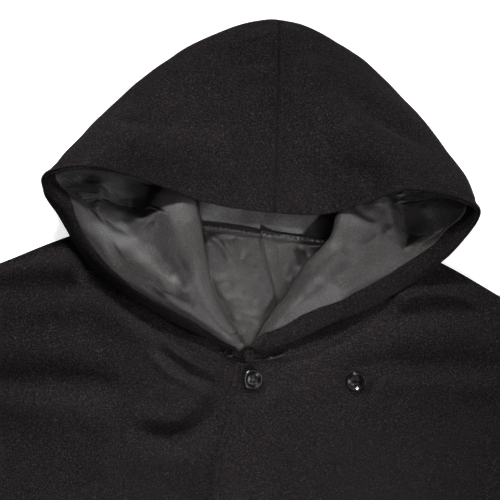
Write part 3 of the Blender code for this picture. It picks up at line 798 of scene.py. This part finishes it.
def hood_layers():
    """The creased outer skin of the hood and its inward normals, with the rows' shares."""
    places = hood_places()
    grid, shares = hood_skin(places)
    inward = inward_normals(grid)
    upper = eased((shares - CROWN_STARTS) * 12)
    lift = creased(grid, CROWN_CREASES) * upper
    lift += rippled(grid, *HOOD_WAVES) * eased(shares * 8) * (1 - eased((shares - CROWN_CALM) * 12))
    lift += rippled(grid, *HOOD_FINE_WAVES) * eased(shares * 8)
    # The centre seam is pressed flat and draws the cloth in along both sides
    from_seam = np.abs(grid[..., 0] - grid[COLUMNS_PER_SIDE, :, 0][None, :])
    lift += (ridge(from_seam, *CROWN_GROOVE) + ridge(from_seam, *CROWN_WELT)) * upper
    lower = (1 - eased((shares - LOWER_ENDS) * 10)) * eased(shares * 6)
    # Between the neck seam and the roll the hood sags, so a ditch runs along below its rims
    stand = shares / RIDGE_SHARE
    sunk = eased(stand * 3.6) * (1 - eased((stand - 0.55) / 0.4))
    # The lower layer's inner side is up, so there a dent moves the skin outward
    lift -= creased(grid, DENTS) * lower
    grid = grid - inward * lift[..., None]
    grid[..., 2] -= DITCH * sunk * beside_neck(places)[:, None]
    grid[..., 2] = np.maximum(grid[..., 2], 0.05)
    return grid, inward_normals(grid), shares


def make_hood():
    grid, inward, shares = hood_layers()
    middle = COLUMNS_PER_SIDE
    inward[middle, :, 0] = 0
    # The lining stops half a section short of the hood's ends at the centre front
    short = int(np.searchsorted(hood_places(), 0.45))
    lined = slice(None, LINED_ROWS + 1)
    faced = slice(LINED_ROWS + 1, None)
    wrinkles = creased(grid, LINING_CREASES) * (1 - eased((shares - LINING_CREASES_END) * 10))
    wrinkles += rippled(grid, *LINING_WAVES) + rippled(grid, *LINING_FINE_WAVES)
    calm = eased(shares * 40) * (1 - eased((shares - LINING_CALM) * 12))
    # Below the rims the lining lies close in the ditch
    calm *= 1 - beside_neck(hood_places())[:, None] * (1 - eased((shares / RIDGE_SHARE - 0.75) * 4))
    wrinkles = np.maximum((wrinkles + LINING_EASE) * calm, LINING_LOWEST)
    made = []
    for side, half, shift in (("left", slice(None, middle + 1), -1), ("right", slice(middle, None), 1)):
        skin, into = grid[half].copy(), inward[half]
        skin[-1 if side == "left" else 0, :, 0] += shift * SEAM_GAP / 2
        kept = slice(short, None) if side == "left" else slice(None, -short)
        shell = cloth_wall(f"hood_{side}_cloth", skin, skin + into * CLOTH, WOOL)
        replace_solid(shell, f"hood_{side}")
        extra = wrinkles[half][kept, lined, None]
        near = skin[kept, lined] + into[kept, lined] * (INSIDE + extra * LINING_FOLLOWS)
        far = skin[kept, lined] + into[kept, lined] * (INSIDE + LINING + extra)
        lining = cloth_wall(f"hood_lining_{side}_satin", near, far, SATIN)
        replace_solid(lining, f"hood_lining_{side}")
        rows = kept if side == "left" else slice(None)
        near = skin[rows, faced] + into[rows, faced] * (INSIDE - FACING_SINK)
        far = skin[rows, faced] + into[rows, faced] * (INSIDE + FACING)
        facing = cloth_wall(f"hood_facing_{side}_cloth", near, far, WOOL)
        replace_solid(facing, f"hood_facing_{side}")
        made.append((shell, lining, facing))
    return grid, inward, made


# The fronts, the back and the lining at the back neck


def solid_folds(spots):
    height = np.zeros(spots.shape[:-1])
    for fold in FRONT_FOLDS:
        away, _ = distance_to_path(spots, (fold.start, fold.end))
        height += fold.height * hill(away, fold.width)
    return height


def base_level(x, on_top):
    """A front's level where nothing lifts it: the top front also lies on the under one."""
    rise = OVERLAP_RISE * (1 - eased((x - OVERLAP_END) / OVERLAP_EASE))
    return FRONT_LEVEL + (rise if on_top else 0.0)


def neck_edge(first, last, level, steps):
    """Points of a front's neck edge between two places on the hood's seam, at a level from its skin."""
    seam = guides(np.linspace(first, last, steps + 1))["seam"]
    away = np.stack([seam[:, 0], seam[:, 1] - NECK_MIDDLE_Y], axis=1)
    away /= np.linalg.norm(away, axis=1, keepdims=True)
    return np.column_stack([seam[:, :2] + away * SEAM_GAP, seam[:, 2] + level])


def shoulder_points(corners, steps):
    points = whole_curve(corners, steps)[1:]
    return np.column_stack([points, np.full(len(points), FRONT_LEVEL)])


def mirrored(corners):
    return [(-x, y) for x, y in corners]


def front_skin(top, free_edge, side_edge, on_top):
    """The under skin of a front: its top edge's points run from the free edge to the side."""
    plan = top[:, :2]
    lengths = lengths_along(plan)
    across = lengths / lengths[-1]
    down = np.linspace(0, 1, FRONT_ROWS) ** DOWN_POWER
    free = spline(free_edge, (len(free_edge) - 1) * down)
    side = spline(side_edge, (len(side_edge) - 1) * down)
    hem = free[-1] * (1 - across[:, None]) + side[-1] * across[:, None]
    hem[:, 1] = HEM + (side[-1][1] - HEM) * across**6
    spots = patch(plan, hem, free, side, across, down)
    away, along = distance_to_path(spots, plan)
    raised = np.interp(along, across, top[:, 2] - base_level(top[:, 0], on_top))
    settled = 1 - hill(away, FOLD_SETTLES)
    level = base_level(spots[..., 0], on_top) + np.maximum(raised * hill(away, NECK_RISE_REACH), 0.0)
    return at_level(spots, level + solid_folds(spots) * settled), away


def dressed_front(grid, away, seed, free_edge):
    """A front's inner and outer skins with its creases: it lies loosely, a little off what is below it."""
    from_free, _ = distance_to_path(grid, whole_curve(free_edge, 60))
    from_buttons = np.full(grid.shape[:2], np.inf)
    for spot in BUTTON_SPOTS:
        from_buttons = np.minimum(from_buttons, np.linalg.norm(grid[..., :2] - spot, axis=-1))
    calm = eased(away / SEAM_CALM) * eased((from_free + 4) / EDGE_CALM)
    calm *= eased((from_buttons - BUTTON_REACH) / BUTTON_CALM)
    lift = creased(grid, FRONT_CREASES) * eased(away / SEAM_UNCREASED)
    lift *= eased((from_buttons - BUTTON_REACH + 1) / BUTTON_UNCREASED)
    lift += (rippled(grid, *FRONT_WAVES, seed) + rippled(grid, *FRONT_FINE_WAVES, seed + 1)) * calm
    # The free edge is turned and pressed, so it is thick up to its row of stitches
    lift += ridge(from_free, *EDGE_WELT) + ridge(from_free, *EDGE_GROOVE)
    lift = np.maximum(lift + LOOSE * calm, -0.15)
    near = grid + lift[..., None] * UP
    return near, near + CLOTH * UP


def edge_spacing(total):
    """Distances along an edge: close together near its start, where stitching needs them, then even."""
    near = np.linspace(0, TOP_FRONT_FINE_REACH, TOP_FRONT_FINE_COLUMNS)
    count = int((total - TOP_FRONT_FINE_REACH) / TOP_FRONT_SPACING) + 1
    return np.concatenate([near, np.linspace(TOP_FRONT_FINE_REACH, total, count)[1:]])


def make_fronts():
    corner = [(*TOP_FRONT_EDGE[0], CORNER_LEVEL), (-7.6, -54.1, CORNER_LEVEL), (*FRONT_CORNER, CORNER_LEVEL)]
    neck = neck_edge(LAST, CENTRE + SIDE_NECK, -CLOTH, NECK_STEPS)
    neck[-1, :2] = SIDE_NECK_CORNER
    top = np.concatenate([corner, neck, shoulder_points(SHOULDER, SHOULDER_STEPS)])
    top = resampled(top, edge_spacing(lengths_along(top)[-1]))
    grid, away = front_skin(top, TOP_FRONT_EDGE, SIDE_EDGE, on_top=True)
    near, far = dressed_front(grid, away, TOP_FRONT_SEED, TOP_FRONT_EDGE)
    right = cloth_wall("front_right_cloth", near, far, WOOL)
    replace_solid(right, "front_right")

    under = neck_edge(LAST - 3, LAST, -CLOTH - OVERLAP_RISE, UNDER_STEPS)
    under[0, :2] = UNDER_FRONT_EDGE[0]
    neck = neck_edge(0, CENTRE - SIDE_NECK, -CLOTH, NECK_STEPS)
    neck[-1, :2] = mirrored([SIDE_NECK_CORNER])[0]
    top = np.concatenate([under, neck, shoulder_points(mirrored(SHOULDER), SHOULDER_STEPS)])
    length = lengths_along(top)[-1]
    top = resampled(top, np.linspace(0, length, int(length / UNDER_FRONT_SPACING)))
    grid, away = front_skin(top, UNDER_FRONT_EDGE, mirrored(SIDE_EDGE), on_top=False)
    near_left, far_left = dressed_front(grid, away, UNDER_FRONT_SEED, UNDER_FRONT_EDGE)
    # Under the overlap the cloth stays as low as its solid, so that it clears the top front
    edge = np.array(TOP_FRONT_EDGE)
    edge_x = np.interp(-grid[..., 1], -edge[:, 1], edge[:, 0])
    covered = eased((grid[..., 0] - edge_x + OVERLAP_BEFORE) / OVERLAP_BLEND)[..., None]
    near_left = near_left * (1 - covered) + grid * covered
    far_left = far_left * (1 - covered) + (grid + CLOTH * UP) * covered
    left = cloth_wall("front_left_cloth", near_left, far_left, WOOL)
    replace_solid(left, "front_left")
    return (right, far), (left, far_left)


def pleat_height(spots):
    line = np.array(PLEAT)
    away = spots[..., 0] - np.interp(-spots[..., 1], -line[:, 1], line[:, 0])
    # The pleat's fold is its steep left edge, and it slopes down to a sewn line on the right
    slope = eased(away + 0.5) * (1 - 0.8 * eased(away / PLEAT_WIDTH))
    past = eased((away - PLEAT_WIDTH) / 3.0)
    seams = ridge(away, *PLEAT_SEAM) + ridge(away, *PLEAT_TUCK)
    return np.maximum(PLEAT_HEIGHT * slope * (1 - past) + seams + PLEAT_BASE, 0.0)


def make_neck_lining():
    across = np.linspace(-1, 1, NECK_LINING_COLUMNS)
    seam = guides(CENTRE + (SIDE_NECK - LINING_SIDE_SHORT) * across)["seam"]
    inset = SEAM_GAP + LINING_INSET * np.abs(across) ** 3
    top = seam[:, :2] - np.column_stack([LINING_INSET * across * np.abs(across), inset])
    bottom = np.column_stack([LINING_END_HALF_WIDTH * across, np.full(len(across), LINING_END)])
    # The rows are close together down to the paired stitches
    down = np.concatenate([np.linspace(0, 0.09, 12), np.linspace(0.09, 1, 70)[1:]])[None, :, None]
    plan = top[:, None] * (1 - down) + bottom[:, None] * down
    spots = at_level(plan, np.zeros(plan.shape[:2]))
    from_seam = np.linalg.norm(plan - top[:, None], axis=-1)
    # The welt puckers between the stitch lines
    welt = ridge(from_seam, *NECK_WELT)
    welt *= 1 + 0.5 * np.sin(spots[..., 0] * 1.9 + 2 * np.sin(spots[..., 0] * 0.31))
    waves = rippled(spots, *NECK_WAVES) + rippled(spots, *NECK_FINE_WAVES)
    waves = (waves + creased(spots, NECK_CREASES)) * eased((from_seam - PAIRED_STITCHES) / 6)
    level = FRONT_LEVEL + pleat_height(spots) + np.maximum(1.5 * waves + 1.8, 0)
    near = at_level(plan, level)
    far = at_level(plan, level + LINING + welt + ridge(from_seam, *NECK_GROOVE))
    piece = cloth_wall("back_neck_satin", near, far, SATIN)
    replace_solid(piece, "back_neck_lining")
    return piece, far, from_seam


def make_back():
    places = CENTRE + np.linspace(-SIDE_NECK, SIDE_NECK, 41)
    seam = guides(places)["seam"]
    gap = SEAM_GAP + 2.6 * eased(np.abs(places - CENTRE) - 1)
    neck = np.column_stack([seam[:, 0], seam[:, 1] - gap])
    right = whole_curve(SHOULDER, 40)
    left = whole_curve(mirrored(SHOULDER), 40)
    neck[0], neck[-1] = left[0], right[0]
    top = np.concatenate([left[:0:-1], neck, right[1:]])
    down = np.linspace(0, 1, BACK_ROWS + 1)
    side_right = spline(SIDE_EDGE, (len(SIDE_EDGE) - 1) * down)
    side_left = spline(mirrored(SIDE_EDGE), (len(SIDE_EDGE) - 1) * down)
    across = np.linspace(0, 1, len(top))
    bulge = 1 - np.abs(2 * across - 1) ** 7
    hem_y = side_right[-1][1] * (1 - bulge) + HEM * bulge
    hem = np.column_stack([side_right[-1][0] * (2 * across - 1), hem_y])
    spots = patch(top, hem, side_left, side_right, across, down)
    near = at_level(spots, np.full(spots.shape[:2], BACK_LEVEL))
    far = at_level(spots, np.full(spots.shape[:2], CLOTH))
    piece = cloth_wall("back_cloth", near, far, WOOL)
    replace_solid(piece, "back")
    return piece


# Buttons and sewing


def fine_button(name):
    """A turned resin button: a rounded rim, a dish and four holes with softened edges."""
    # Radius and height, from the middle of the dish round the rim to the middle of the underside
    profile = (
        (0.0, 1.95), (2.6, 1.95), (4.0, 2.0), (5.0, 2.25), (5.8, 2.75), (6.4, 3.15),
        (7.0, 3.36), (7.5, 3.4), (8.0, 3.3), (8.5, 3.0), (8.85, 2.5), (9.0, 2.0),
        (8.9, 1.5), (8.4, 0.95), (7.4, 0.6), (5.5, 0.2), (0.0, 0.0),
    )
    around = 72
    corners, faces = [(0, 0, profile[0][1])], []
    for radius, height in profile[1:-1]:
        for k in range(around):
            turn = math.tau * k / around
            corners.append((radius * math.cos(turn), radius * math.sin(turn), height))
    corners.append((0, 0, profile[-1][1]))
    rings = len(profile) - 2
    for k in range(around):
        following = (k + 1) % around
        faces.append((0, 1 + k, 1 + following))
        for r in range(rings - 1):
            a, b = 1 + r * around + k, 1 + r * around + following
            faces.append((a, a + around, b + around, b))
        end = 1 + (rings - 1) * around
        faces.append((end + k, len(corners) - 1, end + following))
    mesh = bpy.data.meshes.new(name)
    mesh.from_pydata([tuple(c * MM for c in corner) for corner in corners], [], faces)
    turned = add_object(name, mesh)
    outward(turned)
    cutters = []
    for i in range(4):
        angle = math.radians(45 + 90 * i)
        reach = BUTTON_HOLE_PITCH / math.sqrt(2)
        bpy.ops.mesh.primitive_cylinder_add(
            vertices=20, radius=BUTTON_HOLE / 2 * MM, depth=12 * MM,
            location=(reach * math.cos(angle) * MM, reach * math.sin(angle) * MM, 0),
        )
        cutters.append(bpy.context.object)
        cut = turned.modifiers.new(f"Hole {i + 1}", "BOOLEAN")
        cut.operation = "DIFFERENCE"
        cut.object = cutters[-1]
    bevel = turned.modifiers.new("Softened", "BEVEL")
    bevel.width = BUTTON_EDGE * MM
    bevel.segments = 2
    bevel.limit_method = "ANGLE"
    bevel.angle_limit = math.radians(50)
    graph = bpy.context.evaluated_depsgraph_get()
    finished = bpy.data.meshes.new_from_object(turned.evaluated_get(graph))
    for helper in (turned, *cutters):
        bpy.data.objects.remove(helper)
    finished.shade_smooth()
    finished.set_sharp_from_angle(angle=math.radians(45))
    finished.materials.clear()
    finished.materials.append(RESIN)
    return finished


def strand_faces(start, rings, around):
    """Faces that join rings of corners into a strand, closed at both ends."""
    faces = []
    for r in range(rings - 1):
        for k in range(around):
            a, b = start + r * around + k, start + r * around + (k + 1) % around
            faces.append((a, b, b + around, a + around))
    faces.append(tuple(range(start, start + around)))
    faces.append(tuple(range(start + (rings - 1) * around, start + rings * around)))
    return faces


def tube(points, radius):
    """A round strand along a path, closed at both ends, as corners and faces."""
    points = np.asarray(points, float)
    around = 8
    corners = []
    tangents = np.gradient(points, axis=0)
    for point, along in zip(points, tangents):
        along = along / np.linalg.norm(along)
        side = np.cross(along, (0.13, 0.37, 0.92))
        side /= np.linalg.norm(side)
        up = np.cross(side, along)
        for k in range(around):
            turn = math.tau * k / around
            corners.append(point + side * math.cos(turn) * radius + up * math.sin(turn) * radius)
    return corners, strand_faces(0, len(points), around)


def button_sewing(shank):
    """The strands through a button's holes and the wound shank below it, in the button's own frame."""
    corners, faces = [], []

    def take(more_corners, more_faces):
        start = len(corners)
        corners.extend(more_corners)
        faces.extend(tuple(k + start for k in face) for face in more_faces)

    half = BUTTON_HOLE_PITCH / 2
    for y in (-half, half):
        for shift in (-0.32, 0.0, 0.32):
            path = [
                (-half, y + shift * 0.6, 0.5), (-half, y + shift, 1.7), (-half * 0.75, y + shift, 2.25),
                (0, y + shift, 2.42 - abs(shift) * 0.4),
                (half * 0.75, y + shift, 2.25), (half, y + shift, 1.7), (half, y + shift * 0.6, 0.5),
            ]
            take(*tube(whole_curve(path, 16), 0.27))
    turns = [
        (1.25 * math.cos(a), 1.25 * math.sin(a), 0.3 - shank * share)
        for share, a in ((k / 60, math.tau * 4 * k / 60) for k in range(61))
    ]
    take(*tube(turns, 0.36))
    return corners, faces


def make_buttons():
    mesh = fine_button("turned_button")
    for number in range(1, BUTTON_ROWS * BUTTON_COLUMNS + 1):
        low, high = (np.array(corner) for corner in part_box(f"button_{number}"))
        fastened = number % 2 == 1
        tilt = BUTTON_TILT if fastened else 0.0
        middle = (low + high) / 2
        turn = Matrix.Rotation(tilt, 4, "Y")
        # The solid's own box gives the height: its lowest corner is the turned button's lowest
        own = [turn @ Vector(vertex.co) for vertex in mesh.vertices]
        own_low = min(point.z for point in own)
        own_middle_x = (min(point.x for point in own) + max(point.x for point in own)) / 2
        spot = Vector((middle[0] - own_middle_x, middle[1], low[2] - own_low))
        spin = Matrix.Rotation(math.radians(7 * number - 12), 4, "Z")
        place = Matrix.Translation(spot) @ turn @ spin
        button_data = mesh.copy()
        button_data.transform(place)
        button = add_object(f"button_{number}_resin", button_data)
        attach(button, "root")
        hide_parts(f"button_{number}")
        corners, faces = button_sewing(3.2 if fastened else 1.4)
        thread_points = [place @ (Vector([float(c) for c in corner]) * MM) for corner in corners]
        thread = make_piece(f"button_{number}_thread", thread_points, faces, THREAD)
        outward(thread)


def stitch_line(name, points, ups, length=2.9, pitch=3.7, width=0.75):
    """One row of stitches that lie along a path on the cloth, each a rounded grain of thread."""
    lengths = lengths_along(points)
    corners, faces = [], []
    rings, around = 5, 8
    for n in range(int(lengths[-1] / pitch)):
        middle = (n + 0.5) * pitch
        centre, up = at_length(points, lengths, middle), at_length(ups, lengths, middle)
        ahead = at_length(points, lengths, min(middle + 1, lengths[-1]))
        along = ahead - at_length(points, lengths, max(middle - 1, 0))
        along /= np.linalg.norm(along)
        up = up - along * (up @ along)
        up /= np.linalg.norm(up)
        side = np.cross(along, up)
        start = len(corners)
        for r in range(rings):
            turn = math.pi * (r + 0.5) / rings
            reach, radius = -math.cos(turn) * length / 2, math.sin(turn) ** 0.6
            for k in range(around):
                spin = math.tau * k / around
                corners.append(
                    centre
                    + along * reach
                    + side * (math.cos(spin) * radius * width / 2)
                    + up * (math.sin(spin) * radius * width * 0.45 + STITCH_RISE * radius)
                )
        faces += strand_faces(start, rings, around)
    piece = make_piece(name, placed(np.array(corners)), faces, THREAD)
    outward(piece)


def flat_stitches(name, points, **sizes):
    stitch_line(name, points, np.tile(UP, (len(points), 1)), **sizes)


def make_sewing(hood_grid, hood_inward, top_front, under_front, lining, lining_away):
    # Topstitching on the hood, above the neck seam
    line, ups = [], []
    for column, inward in zip(hood_grid, hood_inward):
        lengths = lengths_along(column)
        away = min(TOPSTITCH, lengths[-1] * 0.3)
        line.append(at_length(column, lengths, away))
        ups.append(at_length(-inward, lengths, away))
    line, ups = np.array(line), np.array(ups)
    first, left_end, right_start = np.searchsorted(hood_places(), (1, CENTRE - SIDE_NECK, CENTRE + SIDE_NECK))
    stitch_line("neck_topstitch_left", line[first:left_end], ups[first:left_end])
    stitch_line("neck_topstitch_right", line[right_start:-6], ups[right_start:-6])
    # Topstitching down the top front's free edge, along the column at its distance on one row
    from_edge = np.linalg.norm(top_front[:, 40] - top_front[0, 40], axis=-1)
    flat_stitches("front_edge_topstitch", top_front[np.argmin(np.abs(from_edge - EDGE_TOPSTITCH)), 1:-1])
    # Above each front's lower edge, along the row at its distance on one column
    for side, skin in (("right", top_front), ("left", under_front)):
        from_hem = np.linalg.norm(skin[30] - skin[30, -1], axis=-1)
        flat_stitches(f"hem_stitches_{side}", skin[2:-2, np.argmin(np.abs(from_hem - HEM_STITCH))])
    # The paired lines below the back neck seam
    for number, away in enumerate((0.9, PAIRED_STITCHES)):
        columns = range(14, len(lining) - 14)
        points = np.array([at_length(lining[i], lining_away[i], away) for i in columns])
        flat_stitches(f"back_neck_stitches_{number + 1}", points, length=2.4, pitch=3.0, width=0.6)


# Floor, light and camera


CAMERA_HEIGHT = 2.4
PICTURE_HALF_WIDTH = 0.21


def make_stage():
    mesh = bpy.data.meshes.new("floor")
    mesh.from_pydata([(-6, -6, 0), (6, -6, 0), (6, 6, 0), (-6, 6, 0)], [], [(0, 1, 2, 3)])
    floor = add_object("floor", mesh)
    # The photo is cut out on white, so the paper glows a little, as on a light table, and shows no shadow
    paper = new_material(
        "matt_white_paper",
        {
            "Base Color": from_hex("#f7f7f7"), "Roughness": 0.9, "Specular IOR Level": 0.1,
            "Emission Color": from_hex("#ffffff"), "Emission Strength": 0.75,
        },
    )[0]
    mesh.materials.append(paper)

    world = bpy.data.worlds.new("studio")
    bpy.context.scene.world = world
    world.use_nodes = True
    background = world.node_tree.nodes["Background"]
    background.inputs["Color"].default_value = from_hex("#ffffff")
    background.inputs["Strength"].default_value = 0.02
    # Metres, watts and degrees. The far one shines through a grid, so its light falls off at the hood's top
    for name, place, aim, size, power, spread in (
        ("far_gridded_panel", (-0.7, 3.9, 3.0), (0.0, -0.04, 0), 0.5, 1.45, 9),
        ("top_panel", (0.8, 0.8, 2.1), (0, 0.3, 0), 0.7, 4.5, 180),
        ("side_panel", (1.6, 0.2, 1.2), (0, 0.3, 0), 0.7, 8.5, 180),
        ("snooted_spot", (0.3, -1.1, 1.7), (0.01, 0.37, 0), 0.2, 0.075, 6),
    ):
        light = bpy.data.lights.new(name, "AREA")
        light.shape = "SQUARE"
        light.size = size
        light.energy = power
        light.spread = math.radians(spread)
        lamp = add_object(name, light)
        lamp.location = place
        direction = Vector(aim) - Vector(place)
        lamp.rotation_euler = direction.to_track_quat("-Z", "Y").to_euler()

    camera_data = bpy.data.cameras.new("camera")
    camera_data.sensor_fit = "HORIZONTAL"
    camera_data.angle = 2 * math.atan(PICTURE_HALF_WIDTH / CAMERA_HEIGHT)
    camera_data.clip_end = 20
    camera = add_object("camera", camera_data)
    camera.location = (-0.0057, 0.3367, CAMERA_HEIGHT)
    camera.rotation_euler = (0, 0, math.radians(4.3))
    bpy.context.scene.camera = camera
    bpy.context.scene.view_settings.view_transform = "Standard"


hood_points, hood_into, hood_pieces = make_hood()
(right_front, right_skin), (left_front, left_skin) = make_fronts()
back = make_back()
neck_lining, neck_lining_skin, neck_lining_away = make_neck_lining()
make_buttons()
make_sewing(hood_points, hood_into, right_skin, left_skin, neck_lining_skin, neck_lining_away)
make_stage()
